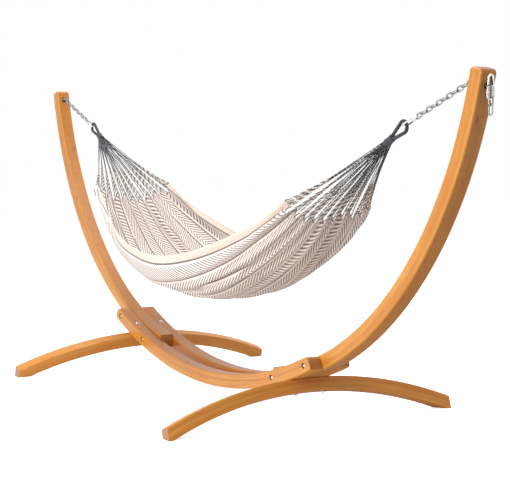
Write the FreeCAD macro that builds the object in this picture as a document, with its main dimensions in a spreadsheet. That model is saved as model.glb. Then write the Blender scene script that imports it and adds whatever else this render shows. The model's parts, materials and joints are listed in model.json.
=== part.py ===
"""Hammock on an arched wooden stand, modelled in millimetres.

Frame: +X runs along the stand towards the right arm, +Y across it towards the rear rail, +Z up.
The origin is on the floor, under the middle of the stand.
Most pieces come in pairs that are the same piece turned half a turn about the vertical axis.
"""

import FreeCAD, Part
import os
from math import acos, asin, atan2, cos, degrees, radians, sin, sqrt

import Sketcher

SIZES = {
    # Glued-laminated arms: one arc each, held between the two rails.
    "arm_inner_radius": 1700, "arm_depth": 69, "arm_width": 75,
    "arm_low_angle": 8.6, "arm_tip_angle": 77.0, "arm_edge_round": 9, "arm_tip_round": 16,
    "arm_hole_angle": 75.1, "arm_hole_radius": 13.5,
    # Rails: their inner arc touches the arms' inner arc at the joint angle.
    "rail_inner_radius": 2500, "rail_depth": 66, "rail_width": 65,
    "rail_start_angle": -23.0, "rail_end_angle": 23.0, "rail_joint_angle": 24.0, "rail_edge_round": 5,
    "rail_nose_round": 32, "rail_heel_round": 9,
    # Crossbars: arches rolled to lie flush under the rails, with feet cut level.
    "bar_angle": 18.5, "bar_top_radius": 1820, "bar_depth": 62, "bar_width": 58,
    "bar_half_span": 720, "bar_crown": 3, "bar_edge_round": 5, "bar_seat_height": 184.4,
    "seat_play": 1,
    # Bolts: four through the rails and arms, four down through rails and crossbars.
    "bolt_radius": 5, "bolt_hole_radius": 5.5, "bolt_circle": 2532,
    "inner_bolt_angle": 15.4, "outer_bolt_angle": 21.9,
    "recess_radius": 13.5, "recess_depth": 11, "washer_radius": 12, "washer_depth": 2,
    "head_radius": 9.5, "head_height": 7, "cap_radius": 9, "cap_height": 8,
    "spot_radius": 15, "spot_depth": 1.5, "dome_radius": 12, "dome_height": 6,
    "bolt_tail": 4, "nut_bore": 4.2, "bar_bolt_tail": 6, "bar_nut_bore": 6.2, "bar_nut_base": 7,
    "bar_nut_dome": 7, "thread_gap": 0.05, "washer_gap": 0.3,
    # Chain and snap hooks.
    "link_wire": 6, "link_inner_length": 34, "link_outer_width": 24, "link_pitch": 33.7,
    "free_links": 11, "tail_links": 3, "pivot_standoff": 12, "chain_slope": 21,
    "hook_wire": 9, "hook_small_radius": 9.5, "hook_large_radius": 15.5, "hook_span": 66,
    "gate_radius": 4.2, "gate_start": 13, "gate_end": 58, "hook_pin_radius": 1.5,
    "heel_length": 5, "nose_gap": 0.4, "tongue_width": 7, "tongue_thickness": 2.6, "gate_slot": 3.2,
    "gate_slot_depth": 4, "pin_gap": 0.05, "pin_overhang": 0.3, "spring_bore": 2.4, "spring_start": 6,
    "spring_radius": 1.6, "spring_wire": 0.4, "spring_pitch": 2.2, "spring_length": 15.4,
    "slack": 0.3, "stop_hook_lean": 12, "stop_hook_share": 0.45,
    # Hammock: rope eyes, whipped necks, fans of cords and the cloth.
    "eye_rope": 15, "eye_length": 102, "eye_width": 32, "neck_length": 48,
    "neck_radius": 14, "neck_slope": 30, "neck_overlap": 4, "neck_step": 1.5, "neck_flare": 4,
    "cord_radius": 2, "cords_per_side": 12, "cord_pitch": 2.6, "cord_start": 4, "cord_end": 14,
    "cloth_half_length": 1000, "cloth_end_height": 985, "cloth_end_half_width": 225,
    "cloth_end_depth": 85, "cloth_mid_height": 700, "cloth_mid_half_width": 420,
    "cloth_mid_depth": 235, "cloth_thickness": 14,
    "tag_width": 26, "tag_drop": 38, "tag_thickness": 1.6, "tag_rise": 6, "tag_standoff": 7,
    # How far a cutting tool starts outside the wood.
    "tool_run": 20,
}

V = FreeCAD.Vector
UP = V(0, 0, 1)
HALF_TURN = FreeCAD.Rotation(UP, 180)

doc = FreeCAD.newDocument("hammock_on_stand")
sheet = doc.addObject("Spreadsheet::Sheet", "Sizes")
for row, (alias, value) in enumerate(SIZES.items(), start=1):
    sheet.set(f"A{row}", alias)
    sheet.set(f"B{row}", str(value))
    sheet.setAlias(f"B{row}", alias)
doc.recompute()


def size(alias):
    return float(sheet.get(alias))


# Places that follow from the sizes.
ARM_TO_RAIL = size("rail_inner_radius") - size("arm_inner_radius")
BAR_TILT = radians(size("bar_angle"))
RAIL_OUTER_RADIUS = size("rail_inner_radius") + size("rail_depth")
BAR_SEAT_HEIGHT = size("bar_seat_height")
RAIL_CENTRE_HEIGHT = BAR_SEAT_HEIGHT + RAIL_OUTER_RADIUS * cos(BAR_TILT)
JOINT = radians(size("rail_joint_angle"))
ARM_CENTRE = V(ARM_TO_RAIL * sin(JOINT), 0, RAIL_CENTRE_HEIGHT - ARM_TO_RAIL * cos(JOINT))
RAIL_OFFSET = (size("arm_width") + size("rail_width")) / 2
BAR_SEAT = V(RAIL_OUTER_RADIUS * sin(BAR_TILT), 0, BAR_SEAT_HEIGHT)
HOLE_ANGLE = radians(size("arm_hole_angle"))
HOLE_OUT = V(sin(HOLE_ANGLE), 0, -cos(HOLE_ANGLE))
HOLE_MOUTH = ARM_CENTRE + HOLE_OUT * size("arm_inner_radius")


# ---------------------------------------------------------------- helpers

def bind(thing, prop, expression, unit="mm"):
    thing.setExpression(prop, f"({expression}) * 1 {unit}")


def origin_plane(body, role):
    return next(item for item in body.Origin.OriginFeatures if item.Role == role)


def new_body(label):
    body = doc.addObject("PartDesign::Body", label)
    body.Label = label
    return body


def new_sketch(body, role):
    sketch = body.newObject("Sketcher::SketchObject", body.Name + "_outline")
    sketch.AttachmentSupport = [(origin_plane(body, role), "")]
    sketch.MapMode = "FlatFace"
    return sketch


def constrain(sketch, name, constraint, expression, unit="mm"):
    index = sketch.addConstraint(constraint)
    sketch.renameConstraint(index, name)
    bind(sketch, "Constraints." + name, expression, unit)


def pad_and_round(body, sketch, width, rounds):
    """Pads the sketch to both sides and rounds each group of edges in turn."""
    pad = body.newObject("PartDesign::Pad", body.Name + "_pad")
    pad.Profile = sketch
    pad.SideType = "Symmetric"
    bind(pad, "Length", width)
    last = pad
    for number, (radius, belongs) in enumerate(rounds):
        doc.recompute()
        edges = [f"Edge{i}" for i, edge in enumerate(last.Shape.Edges, start=1) if belongs(edge)]
        fillet = body.newObject("PartDesign::Fillet", f"{body.Name}_round_{number}")
        fillet.Base = (last, edges)
        bind(fillet, "Radius", radius)
        last = fillet


def drill(body, name, radius, length, start, direction):
    """A cylinder cut from start along direction, in the body's own frame."""
    hole = body.newObject("PartDesign::SubtractiveCylinder", f"{body.Name}_{name}")
    bind(hole, "Radius", radius)
    bind(hole, "Height", length)
    hole.Placement = FreeCAD.Placement(start, FreeCAD.Rotation(UP, direction))


def finish_body(body, place):
    doc.recompute()
    body.Tip = body.Group[-1]
    body.Placement = place
    doc.recompute()
    return body


def feature(label, solids, turned=False):
    thing = doc.addObject("Part::Feature", label)
    thing.Label = label
    thing.Shape = solids[0] if len(solids) == 1 else Part.makeCompound(solids)
    if turned:
        thing.Placement = FreeCAD.Placement(V(0, 0, 0), HALF_TURN).multiply(thing.Placement)
    return thing


def turned_solid(profile, start, direction):
    """Revolves (radius, height) points about an axis through start along direction."""
    points = [V(radius, 0, height) for radius, height in profile]
    face = Part.Face(Part.makePolygon(points + points[:1]))
    solid = face.revolve(V(0, 0, 0), UP, 360)
    solid.Placement = FreeCAD.Placement(start, FreeCAD.Rotation(UP, direction))
    return solid


def frame_placement(start, along, across):
    """Places a flat shape so that its X runs along and its Y runs across."""
    normal = along.cross(across)
    matrix = FreeCAD.Matrix(along.x, across.x, normal.x, start.x,
                            along.y, across.y, normal.y, start.y,
                            along.z, across.z, normal.z, start.z, 0, 0, 0, 1)
    return FreeCAD.Placement(matrix)


def pipe(edges, radius):
    """A round bar of the given radius along a smooth chain of edges."""
    path = Part.Wire(edges)
    first = edges[0]
    start = first.valueAt(first.FirstParameter)
    tangent = first.tangentAt(first.FirstParameter)
    section = Part.Wire(Part.makeCircle(radius, start, tangent))
    return path.makePipeShell([section], True, False)


def arc(first, middle, last):
    return Part.Arc(first, middle, last).toShape()


def line(first, last):
    return Part.LineSegment(first, last).toShape()


# ---------------------------------------------------------------- wooden beams

def arc_beam(label, inner, depth, start_angle, end_angle, width, rounds):
    """A beam bent to an arc about its frame's origin; angles run from straight down, towards +X."""
    body = new_body(label)
    sketch = new_sketch(body, "XZ_Plane")
    doc.recompute()
    inner_radius = size(inner)
    outer_radius = inner_radius + size(depth)
    low, high = radians(size(start_angle) - 90), radians(size(end_angle) - 90)

    def point(radius, angle):
        return V(radius * cos(angle), radius * sin(angle), 0)

    def ring(radius):
        return Part.ArcOfCircle(Part.Circle(V(0, 0, 0), UP, radius), low, high)

    inside = sketch.addGeometry(ring(inner_radius))
    outside = sketch.addGeometry(ring(outer_radius))
    low_end = sketch.addGeometry(Part.LineSegment(point(inner_radius, low), point(outer_radius, low)))
    high_end = sketch.addGeometry(Part.LineSegment(point(inner_radius, high), point(outer_radius, high)))
    rule = Sketcher.Constraint
    for curve in (inside, outside):
        sketch.addConstraint(rule("Coincident", curve, 3, -1, 1))
    for end, side in ((low_end, 1), (high_end, 2)):
        sketch.addConstraint(rule("Coincident", end, 1, inside, side))
        sketch.addConstraint(rule("Coincident", end, 2, outside, side))
        sketch.addConstraint(rule("PointOnObject", -1, 1, end))
    constrain(sketch, "inner", rule("Radius", inside, inner_radius), f"Sizes.{inner}")
    constrain(sketch, "outer", rule("Radius", outside, outer_radius), f"Sizes.{inner} + Sizes.{depth}")
    constrain(sketch, "low", rule("Angle", low_end, low), f"Sizes.{start_angle} - 90", "deg")
    constrain(sketch, "high", rule("Angle", high_end, high), f"Sizes.{end_angle} - 90", "deg")
    pad_and_round(body, sketch, f"Sizes.{width}", rounds)
    return body


def is_long(edge):
    return edge.Length > 300


def is_end_edge(radius, angle):
    """True for the straight edges across the beam at the given radius and end angle."""
    def belongs(edge):
        middle = edge.CenterOfMass
        reach = sqrt(middle.x ** 2 + middle.z ** 2)
        turn = degrees(asin(middle.x / reach)) if reach else 0
        across = edge.BoundBox.YLength > 30
        return across and abs(reach - radius) < 15 and abs(abs(turn) - angle) < 1.2
    return belongs


def make_arm(label, turned):
    inner = size("arm_inner_radius")
    outer = inner + size("arm_depth")
    tip = size("arm_tip_angle")
    rounds = [("Sizes.arm_tip_round", is_end_edge(inner, tip)),
              ("Sizes.arm_tip_round", is_end_edge(outer, tip)),
              ("Sizes.arm_edge_round", is_long)]
    body = arc_beam(label, "arm_inner_radius", "arm_depth", "arm_low_angle", "arm_tip_angle",
                    "arm_width", rounds)
    tool = size("tool_run")
    drill(body, "chain_hole", "Sizes.arm_hole_radius", "Sizes.arm_depth + 2 * Sizes.tool_run",
          HOLE_OUT * (inner - tool), HOLE_OUT)
    for number, alias in enumerate(("inner_bolt_angle", "outer_bolt_angle")):
        start = bolt_point(alias) - ARM_CENTRE
        drill(body, f"bolt_hole_{number}", "Sizes.bolt_hole_radius",
              "Sizes.arm_width + 2 * Sizes.tool_run",
              V(start.x, -size("arm_width") / 2 - tool, start.z), V(0, 1, 0))
    centre = V(-ARM_CENTRE.x if turned else ARM_CENTRE.x, 0, ARM_CENTRE.z)
    return finish_body(body, FreeCAD.Placement(centre, HALF_TURN if turned else FreeCAD.Rotation()))


def bolt_point(alias, side=1):
    """Where a through bolt's axis crosses the plane y = 0."""
    angle = radians(size(alias))
    radius = size("bolt_circle")
    return V(side * radius * sin(angle), 0, RAIL_CENTRE_HEIGHT - radius * cos(angle))


def make_rail(label, turned):
    """The front rail; the rear rail is the same piece turned round. Recesses are on the outer face."""
    inner, outer = size("rail_inner_radius"), RAIL_OUTER_RADIUS
    end = size("rail_end_angle")
    half, tool = size("rail_width") / 2, size("tool_run")
    rounds = [("Sizes.rail_nose_round", is_end_edge(inner, end)),
              ("Sizes.rail_heel_round", is_end_edge(outer, end)),
              ("Sizes.rail_edge_round", is_long)]
    body = arc_beam(label, "rail_inner_radius", "rail_depth", "rail_start_angle",
                    "rail_end_angle", "rail_width", rounds)
    for side in (-1, 1):
        for number, alias in enumerate(("inner_bolt_angle", "outer_bolt_angle")):
            point = bolt_point(alias, side)
            spot = V(point.x, -half - tool, point.z - RAIL_CENTRE_HEIGHT)
            name = f"{'left' if side < 0 else 'right'}_{number}"
            drill(body, "bolt_hole_" + name, "Sizes.bolt_hole_radius",
                  "Sizes.rail_width + 2 * Sizes.tool_run", spot, V(0, 1, 0))
            drill(body, "recess_" + name, "Sizes.recess_radius",
                  "Sizes.recess_depth + Sizes.tool_run", spot, V(0, 1, 0))
        down = V(side * sin(BAR_TILT), 0, -cos(BAR_TILT))
        name = "left" if side < 0 else "right"
        drill(body, "bar_bolt_hole_" + name, "Sizes.bolt_hole_radius",
              "Sizes.rail_depth + 2 * Sizes.tool_run", down * (inner - tool), down)
        drill(body, "bar_bolt_spot_" + name, "Sizes.spot_radius", "Sizes.spot_depth + Sizes.tool_run",
              down * (inner - tool), down)
    place = FreeCAD.Placement(V(0, RAIL_OFFSET if turned else -RAIL_OFFSET, RAIL_CENTRE_HEIGHT),
                              HALF_TURN if turned else FreeCAD.Rotation())
    return finish_body(body, place)


def bar_placement(turned):
    """The crossbar's own frame: Z square to the rails' underside, Y across the stand."""
    roll = FreeCAD.Rotation(V(0, 1, 0), -size("bar_angle"))
    place = FreeCAD.Placement(BAR_SEAT, roll)
    return FreeCAD.Placement(V(0, 0, 0), HALF_TURN).multiply(place) if turned else place


def make_crossbar(label, turned):
    body = new_body(label)
    sketch = new_sketch(body, "YZ_Plane")
    doc.recompute()
    top, crown, half = size("bar_top_radius"), size("bar_crown"), size("bar_half_span")
    bottom = top - size("bar_depth")
    centre = V(0, crown - top, 0)

    def arch(radius):
        angle = acos(half / radius)
        curve = Part.Circle(centre, UP, radius)
        return Part.ArcOfCircle(curve, angle, radians(180) - angle)

    def end(side):
        low, high = (centre.y + sqrt(r ** 2 - half ** 2) for r in (bottom, top))
        return Part.LineSegment(V(side * half, low, 0), V(side * half, high, 0))

    upper, lower = sketch.addGeometry(arch(top)), sketch.addGeometry(arch(bottom))
    right, left = sketch.addGeometry(end(1)), sketch.addGeometry(end(-1))
    rule = Sketcher.Constraint
    sketch.addConstraint(rule("Coincident", upper, 3, lower, 3))
    sketch.addConstraint(rule("PointOnObject", upper, 3, -2))
    for side, curve_end in ((right, 1), (left, 2)):
        sketch.addConstraint(rule("Coincident", side, 1, lower, curve_end))
        sketch.addConstraint(rule("Coincident", side, 2, upper, curve_end))
        sketch.addConstraint(rule("Vertical", side))
    constrain(sketch, "top", rule("Radius", upper, top), "Sizes.bar_top_radius")
    constrain(sketch, "bottom", rule("Radius", lower, bottom), "Sizes.bar_top_radius - Sizes.bar_depth")
    constrain(sketch, "drop", rule("DistanceY", upper, 3, -1, 1, top - crown),
              "Sizes.bar_top_radius - Sizes.bar_crown")
    constrain(sketch, "right_reach", rule("DistanceX", -1, 1, right, 1, half), "Sizes.bar_half_span")
    constrain(sketch, "left_reach", rule("DistanceX", left, 1, -1, 1, half), "Sizes.bar_half_span")
    pad_and_round(body, sketch, "Sizes.bar_width", [("Sizes.bar_edge_round", is_long)])

    tool = size("tool_run")
    seat_width = size("arm_width") + 2 * size("rail_width") + size("seat_play")
    seat = body.newObject("PartDesign::SubtractiveBox", body.Name + "_seat")
    bind(seat, "Length", "Sizes.bar_width + 2 * Sizes.tool_run")
    bind(seat, "Width", "Sizes.arm_width + 2 * Sizes.rail_width + Sizes.seat_play")
    bind(seat, "Height", "Sizes.bar_crown + Sizes.tool_run")
    seat.Placement.Base = V(-size("bar_width") / 2 - tool, -seat_width / 2, 0)

    floor = body.newObject("PartDesign::SubtractiveBox", body.Name + "_foot_cut")
    bind(floor, "Length", "Sizes.bar_width * 5")
    bind(floor, "Width", "(Sizes.bar_half_span + Sizes.tool_run) * 2")
    bind(floor, "Height", "Sizes.bar_depth * 2")
    world = FreeCAD.Placement(V(BAR_SEAT.x - size("bar_width") * 2.5, -half - tool,
                                -size("bar_depth") * 2), FreeCAD.Rotation())
    floor.Placement = bar_placement(False).inverse().multiply(world)

    for side in (-1, 1):
        name = "front" if side < 0 else "rear"
        underside = -size("bar_depth") + size("bar_crown")
        start = V(0, side * RAIL_OFFSET, underside - tool)
        drill(body, "bolt_hole_" + name, "Sizes.bolt_hole_radius",
              "Sizes.bar_depth + 2 * Sizes.tool_run", start, UP)
        drill(body, "nut_spot_" + name, "Sizes.spot_radius", "Sizes.spot_depth + Sizes.tool_run",
              start, UP)
    return finish_body(body, bar_placement(turned))


# ---------------------------------------------------------------- fasteners

def dome_profile(radius, height, steps=5):
    """Half the outline of a shallow dome that sits on height 0."""
    ball = (radius ** 2 + height ** 2) / (2 * height)
    edge = asin(radius / ball)
    angles = [edge * (1 - i / steps) for i in range(steps + 1)]
    return [(ball * sin(a), ball * cos(a) - ball + height) for a in angles]


def through_fasteners():
    """Four bolts with domed heads in the front rail and cap nuts in the rear rail."""
    seat = RAIL_OFFSET + size("rail_width") / 2 - size("recess_depth")
    wash, shank = size("washer_depth"), size("bolt_radius")
    thread, bore = shank + size("thread_gap"), size("nut_bore")
    bolts, nuts, washers = [], [], []
    for side in (-1, 1):
        for alias in ("inner_bolt_angle", "outer_bolt_angle"):
            axis = bolt_point(alias, side)
            head = axis + V(0, -seat - wash, 0)
            tail = 2 * (seat + wash) + size("bolt_tail")
            outline = [(0, -tail), (shank, -tail), (shank, 0)]
            outline += dome_profile(size("head_radius"), size("head_height"))
            bolts.append(turned_solid(outline, head, V(0, -1, 0)))
            cap = dome_profile(size("cap_radius"), size("cap_height"))
            outline = [(0, bore), (thread, bore), (thread, 0)] + cap
            nuts.append(turned_solid(outline, axis + V(0, seat + wash, 0), V(0, 1, 0)))
            for way in (-1, 1):
                washers.append(washer(axis + V(0, way * seat, 0), V(0, way, 0)))
    feature("through_bolts", bolts)
    feature("through_bolt_nuts", nuts)
    feature("through_bolt_washers", washers)


def washer(start, direction):
    hole = size("bolt_radius") + size("washer_gap")
    rim, depth = size("washer_radius"), size("washer_depth")
    return turned_solid([(hole, 0), (rim, 0), (rim, depth), (hole, depth)], start, direction)


def crossbar_fasteners():
    """Four round-headed bolts down through the rails and crossbars, with dome nuts beneath."""
    shank, wash = size("bolt_radius"), size("washer_depth")
    head_seat = size("rail_depth") - size("spot_depth")
    nut_seat = -size("bar_depth") + size("bar_crown") + size("spot_depth")
    tail = head_seat - nut_seat + wash + size("bar_bolt_tail")
    thread, bore = shank + size("thread_gap"), size("bar_nut_bore")
    rim, base = size("cap_radius"), size("bar_nut_base")
    dome = [(r, h + base) for r, h in dome_profile(rim, size("bar_nut_dome"))]
    bolts, nuts, washers = [], [], []
    for turned in (False, True):
        place = bar_placement(turned)
        up = place.Rotation.multVec(UP)
        for side in (-1, 1):
            head = place.multVec(V(0, side * RAIL_OFFSET, head_seat))
            outline = [(0, -tail), (shank, -tail), (shank, 0)]
            outline += dome_profile(size("dome_radius"), size("dome_height"))
            bolts.append(turned_solid(outline, head, up))
            under = place.multVec(V(0, side * RAIL_OFFSET, nut_seat))
            washers.append(washer(under, -up))
            outline = [(0, bore), (thread, bore), (thread, 0), (rim, 0)] + dome
            nuts.append(turned_solid(outline, under - up * wash, -up))
    feature("crossbar_bolts", bolts)
    feature("crossbar_dome_nuts", nuts)
    feature("crossbar_washers", washers)


# ---------------------------------------------------------------- chain

def link():
    """One chain link about its own centre, long along X, flat in XY."""
    wire = size("link_wire") / 2
    bend = size("link_outer_width") / 2 - wire
    straight = size("link_inner_length") / 2 + wire - bend
    corners = [V(-straight, bend, 0), V(straight, bend, 0), V(straight, -bend, 0), V(-straight, -bend, 0)]
    return pipe([line(corners[0], corners[1]), arc(corners[1], V(straight + bend, 0, 0), corners[2]),
                 line(corners[2], corners[3]), arc(corners[3], V(-straight - bend, 0, 0), corners[0])], wire)


def chain(start, along, across, count):
    """Links from the bearing point start, each a quarter turn from the last."""
    other = along.cross(across)
    links = []
    for number in range(count):
        one = link()
        centre = start + along * (size("link_pitch") * (number + 0.5))
        one.Placement = frame_placement(centre, along, across if number % 2 == 0 else other)
        links.append(one)
    return links


SLOPE = radians(size("chain_slope"))
PULL = V(-cos(SLOPE), 0, -sin(SLOPE))
PIVOT = HOLE_MOUTH - HOLE_OUT * size("pivot_standoff")
LINKS_IN_ARM = 3
ACROSS = V(0, 1, 0)
BEARING = (size("link_wire") + size("slack")) / 2
SWING_POINT = PIVOT - HOLE_OUT * BEARING
FREE_START = SWING_POINT - PULL * (BEARING + 2 * size("slack"))
CHAIN_END = FREE_START + PULL * (size("link_pitch") * size("free_links"))
HOOK_REST = size("hook_wire") / 2 - size("hook_small_radius")
HOOK_INNER = size("hook_span") + size("hook_small_radius") + size("hook_large_radius") - size("hook_wire")
LOOP_POINT = CHAIN_END + PULL * HOOK_INNER
ROLL_POINT = LOOP_POINT - PULL * (size("eye_rope") / 2 + 5 * size("slack"))
TAIL_START = PIVOT + HOLE_OUT * (size("link_pitch") * LINKS_IN_ARM + size("link_wire") / 2)


def make_chains(side, turned):
    """Links held in the arm's hole, the free run to the snap hook and the short hanging tail."""
    feature(side + "_arm_chain", chain(PIVOT, HOLE_OUT, ACROSS, LINKS_IN_ARM), turned)
    square = PULL.cross(ACROSS)
    feature(side + "_chain", chain(FREE_START, PULL, square, int(size("free_links"))), turned)
    tail_top = TAIL_START + V(0, 0, size("link_wire") / 2 + 3 * size("slack"))
    feature(side + "_chain_tail", chain(tail_top, V(0, 0, -1), V(1, 0, 0), int(size("tail_links"))), turned)


# ---------------------------------------------------------------- snap hooks

GATE_SIDE = -1
SIDE_ANGLE = asin((size("hook_large_radius") - size("hook_small_radius")) / size("hook_span"))
SIDE_RUN = V(cos(SIDE_ANGLE), GATE_SIDE * sin(SIDE_ANGLE), 0)


def side_point(distance, side=GATE_SIDE):
    """A point on the hook's side at a distance along X from the small end's centre."""
    small = size("hook_small_radius")
    start = V(-small * sin(SIDE_ANGLE), side * small * cos(SIDE_ANGLE), 0)
    run = V(cos(SIDE_ANGLE), side * sin(SIDE_ANGLE), 0)
    return start + run * ((distance - start.x) / run.x)


def hook_parts():
    """The bent wire, gate, gate pin and gate spring of one snap hook, flat in XY along +X."""
    wire, small, large = size("hook_wire") / 2, size("hook_small_radius"), size("hook_large_radius")
    span, gate, pin = size("hook_span"), size("gate_radius"), size("hook_pin_radius")
    large_run = V(span - large * sin(SIDE_ANGLE), 0, 0)
    tangent_y = large * cos(SIDE_ANGLE)
    small_low, small_high = side_point(-small * sin(SIDE_ANGLE)), side_point(-small * sin(SIDE_ANGLE), 1)
    heel, nose = side_point(size("gate_start") - size("heel_length")), side_point(size("gate_end"))
    bend = pipe([line(heel, small_low), arc(small_low, V(-small, 0, 0), small_high),
                 line(small_high, large_run + V(0, tangent_y, 0)),
                 arc(large_run + V(0, tangent_y, 0), V(span + large, 0, 0), large_run - V(0, tangent_y, 0)),
                 line(large_run - V(0, tangent_y, 0), nose)], wire)

    hinge = side_point(size("gate_start"))
    length = (nose - hinge).Length - size("nose_gap")
    local = frame_placement(hinge, SIDE_RUN, UP.cross(SIDE_RUN))
    width, thick, slot = size("tongue_width"), size("tongue_thickness"), size("gate_slot")
    tongue = Part.makeBox(width, width, thick, V(-width, -width / 2, -thick / 2))
    tongue = tongue.fuse(Part.makeCylinder(width / 2, thick, V(0, 0, -thick / 2), UP))
    tongue = tongue.cut(Part.makeCylinder(pin, 2 * width, V(0, 0, -width), UP))
    tongue.Placement = local
    body = bend.fuse(tongue).removeSplitter()

    barrel = Part.makeCylinder(gate, length, V(0, 0, 0), V(1, 0, 0))
    barrel = barrel.fuse(Part.makeSphere(gate, V(0, 0, 0)))
    slot_run = size("gate_slot_depth") + width
    barrel = barrel.cut(Part.makeBox(slot_run, 2 * width, slot, V(-width, -width, -slot / 2)))
    barrel = barrel.cut(Part.makeCylinder(pin + size("pin_gap"), 2 * width, V(0, 0, -width), UP))
    bore_end = size("spring_start") + size("spring_length") + 2 * size("spring_wire")
    barrel = barrel.cut(Part.makeCylinder(size("spring_bore"), bore_end, V(0, 0, 0), V(1, 0, 0)))
    barrel.Placement = local

    proud = size("pin_overhang")
    pivot = Part.makeCylinder(pin, 2 * (gate + proud), V(0, 0, -gate - proud), UP)
    pivot.Placement = local

    reach = size("spring_radius")
    coil = Part.makeHelix(size("spring_pitch"), size("spring_length"), reach)
    ring = Part.Wire(Part.makeCircle(size("spring_wire"), V(reach, 0, 0), V(0, 1, 0)))
    spring = Part.Wire(coil).makePipeShell([ring], True, True)
    inside = FreeCAD.Placement(V(size("spring_start"), 0, 0), FreeCAD.Rotation(UP, V(1, 0, 0)))
    spring.Placement = local.multiply(inside)
    return {"hook": body, "hook_gate": barrel, "hook_pin": pivot, "gate_spring": spring}


def place_hook(prefix, start, along, across, turned):
    """Puts a snap hook's small-end bearing point at start, running along."""
    place = frame_placement(start - along * HOOK_REST, along, across)
    for name, shape in hook_parts().items():
        shape.Placement = place.multiply(shape.Placement)
        feature(f"{prefix}_{name}", [shape], turned)


def make_hooks(side, turned):
    place_hook(side, CHAIN_END - PULL * (size("slack") / 2), PULL, ACROSS, turned)
    # The stop hook lies on the arm's outer face, its plain side passed through the last link.
    down = HOLE_OUT.cross(ACROSS)
    down = down if down.z < 0 else -down
    lean = radians(size("stop_hook_lean"))
    along = down * cos(lean) + ACROSS * sin(lean)
    across = along.cross(HOLE_OUT)
    centre = HOLE_MOUTH + HOLE_OUT * (size("arm_depth") + size("hook_wire") / 2 + 2 * size("slack"))
    plain_side = side_point(size("hook_span") * size("stop_hook_share"), 1)
    start = centre - along * plain_side.x - across * plain_side.y
    place_hook(side + "_stop", start + along * HOOK_REST, along, across, turned)


# ---------------------------------------------------------------- hammock

NECK = radians(size("neck_slope"))
NECK_RUN = V(-cos(NECK), 0, -sin(NECK))
LEG_SPACING = 0.95  # the eye's legs nearly touch where they enter the neck
FLARE_START = 0.6  # where the neck starts to widen, as a share of its length
BELLY, RISE, TUCK, SQUARING = 2.2, 1.9, 0.06, 0.9  # how the hanging cloth's curves bend
SECTION_STEPS = 12
STATIONS = (-1, -0.85, -0.6, -0.3, 0, 0.3, 0.6, 0.85, 1)
CORD_SPREAD = 0.97  # the outermost cords stop just short of the cloth's edges
TAG_PLACE, TAG_SIDE = -0.94, -0.8


def make_eye(side, turned):
    """The rope eye that hangs in the hook and the whipped neck that gathers the cords."""
    rope = size("eye_rope") / 2
    bend = size("eye_width") / 2 + rope
    neck, neck_length = size("neck_radius"), size("neck_length")
    overlap, step = size("neck_overlap"), size("neck_step")
    to_foot = size("eye_length") - bend + overlap
    half_gap = rope * LEG_SPACING
    lean = atan2(half_gap, to_foot) + acos(bend / sqrt(to_foot ** 2 + half_gap ** 2))
    touch = V(bend * cos(lean), bend * sin(lean), 0)
    eye = pipe([line(V(to_foot, half_gap, 0), touch),
                arc(touch, V(-bend, 0, 0), V(touch.x, -touch.y, 0)),
                line(V(touch.x, -touch.y, 0), V(to_foot, -half_gap, 0))], rope)
    centre = ROLL_POINT + NECK_RUN * bend
    eye.Placement = frame_placement(centre, NECK_RUN, V(0, 1, 0).cross(NECK_RUN))
    waist = centre + NECK_RUN * (to_foot - overlap)
    profile = [(0, 0), (neck, 0), (neck + step, 2 * step), (neck + step, neck_length * FLARE_START),
               (neck + size("neck_flare"), neck_length), (0, neck_length)]
    whipping = turned_solid(profile, waist, NECK_RUN)
    feature(side + "_loop_eye", [eye.cut(whipping)], turned)
    feature(side + "_loop_whipping", [whipping], turned)
    return whipping, waist + NECK_RUN * neck_length


def cloth_point(along, across):
    """The cloth's middle surface: along and across both run from -1 to 1."""
    spread = 1 - abs(along) ** BELLY
    half_width = size("cloth_end_half_width") + spread * (
        size("cloth_mid_half_width") - size("cloth_end_half_width"))
    edge = size("cloth_mid_height") + abs(along) ** RISE * (
        size("cloth_end_height") - size("cloth_mid_height"))
    depth = size("cloth_end_depth") + spread * (size("cloth_mid_depth") - size("cloth_end_depth"))
    angle = across * radians(90)
    drop = depth * cos(angle) ** SQUARING if abs(across) < 1 else 0
    return V(along * size("cloth_half_length"), half_width * sin(angle) * (1 - TUCK * abs(across)),
             edge - drop)


def cloth_section(along):
    """A closed U across the cloth: the middle line offset to both sides."""
    steps = SECTION_STEPS
    middle = [cloth_point(along, -1 + 2 * i / steps) for i in range(steps + 1)]
    normals = []
    for index in range(steps + 1):
        before, after = middle[max(index - 1, 0)], middle[min(index + 1, steps)]
        tangent = V(0, after.y - before.y, after.z - before.z).normalize()
        normals.append(V(0, -tangent.z, tangent.y))
    half = size("cloth_thickness") / 2
    inside = [p + n * half for p, n in zip(middle, normals)]
    outside = [p - n * half for p, n in zip(middle, normals)]
    curves = []
    for points in (inside, outside[::-1]):
        spline = Part.BSplineCurve()
        spline.interpolate(points)
        curves.append(spline.toShape())
    caps = [line(inside[-1], outside[-1]), line(outside[0], inside[0])]
    return Part.Wire([curves[0], caps[0], curves[1], caps[1]])


def make_cloth():
    cloth = Part.makeLoft([cloth_section(s) for s in STATIONS], True, False)
    feature("hammock_cloth", [cloth])
    return cloth


def make_cords(side, whipping, neck_end, cloth, turned):
    """Straight cords from the whipped neck to the cloth's gathered end, trimmed to both."""
    count, radius, pitch = int(size("cords_per_side")), size("cord_radius"), size("cord_pitch")
    cords = []
    for number in range(count):
        across = -1 + 2 * (number + 0.5) / count
        start = neck_end + V(0, (number - (count - 1) / 2) * pitch, pitch if number % 2 else -pitch)
        run = cloth_point(1, across * CORD_SPREAD) - start
        length = run.Length + size("cord_end")
        run.normalize()
        cord = Part.makeCylinder(radius, length, start - run * size("cord_start"), run)
        cords.append(cord.cut(whipping).cut(cloth).Solids[0])
    feature(side + "_cords", cords, turned)


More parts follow.
